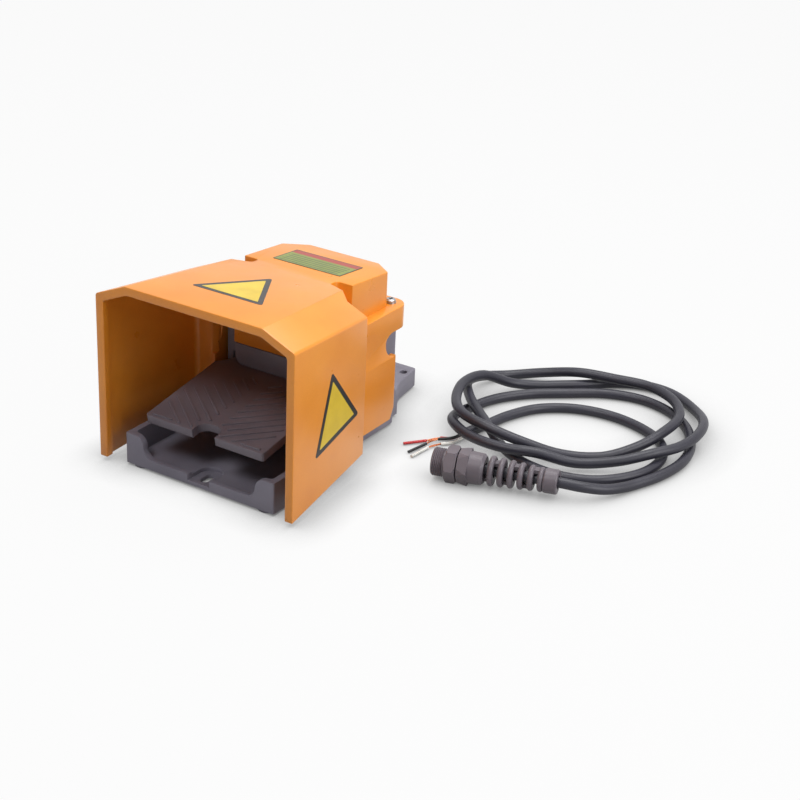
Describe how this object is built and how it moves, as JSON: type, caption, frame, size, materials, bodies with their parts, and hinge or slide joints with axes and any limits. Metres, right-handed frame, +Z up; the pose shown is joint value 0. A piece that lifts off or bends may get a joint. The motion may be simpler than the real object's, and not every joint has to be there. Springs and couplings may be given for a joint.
{
  "type": "foot switch",
  "caption": "Guarded industrial foot switch: sprung pedal under a shoe guard, snap switch in the rear housing, and a loose coiled lead with its cable gland.",
  "frame": {"origin": "centre of the switch's footprint on the floor, without the loose lead", "axes": "+Z up, -Y towards the guard's mouth where the shoe enters, +X to the right of someone who faces the mouth"},
  "size_m": [0.3681, 0.3781, 0.148],
  "materials": {
    "guard_yellow": "powder coat, semi-gloss",
    "base_grey": "fine textured paint, matt",
    "pedal_brown": "textured paint, matt",
    "steel": "zinc plated",
    "spring_steel": "drawn wire",
    "gasket_rubber": "matt",
    "bush_plastic": "moulded",
    "switch_plastic": "moulded",
    "brass": "plain",
    "gland_plastic": "moulded nylon",
    "lead_sheath": "soft PVC, satin",
    "core_black": "PVC",
    "core_white": "PVC",
    "core_red": "PVC",
    "copper": "bare strands"
  },
  "bodies": {
    "base": {"base_casting": "base_grey", "guard_cover": "guard_yellow", "cover_gasket": "gasket_rubber", "cover_screws": "steel", "cover_washers": "steel", "hinge_pin": "steel", "pin_clips": "spring_steel", "return_springs": "spring_steel", "stop_buffers": "gasket_rubber", "switch_body": "switch_plastic", "switch_terminals": "brass", "switch_screws": "steel", "switch_bracket": "steel", "bracket_screws": "steel", "earth_screw": "brass", "gland_body": "gland_plastic", "gland_seal": "gasket_rubber", "gland_nut": "gland_plastic", "lead": "lead_sheath", "core_black": "core_black", "core_white": "core_white", "core_red": "core_red", "copper_strands": "copper"},
    "pedal": {"pedal": "pedal_brown", "pedal_bushes": "bush_plastic", "striker": "steel"},
    "button": {"switch_button": "bush_plastic"}
  },
  "joints": [
    {"name": "pedal_hinge", "type": "hinge", "parent": "base", "child": "pedal", "pos_m": [0, 0.00225, 0.05296], "axis": [1, 0, 0], "range_deg": [0, 7], "stiffness_Nm_per_rad": 8, "springref_deg": -14.32, "deforming": ["return_springs"]},
    {"name": "button_slide", "type": "slide", "parent": "base", "child": "button", "axis": [0, 0, 1], "range_m": [0, 0.0045], "stiffness_N_per_m": 200, "springref_m": -0.01}
  ],
  "couplings": [
    {"joint": "button_slide", "follows": "pedal_hinge", "m_per_rad": 0.03598}
  ]
}
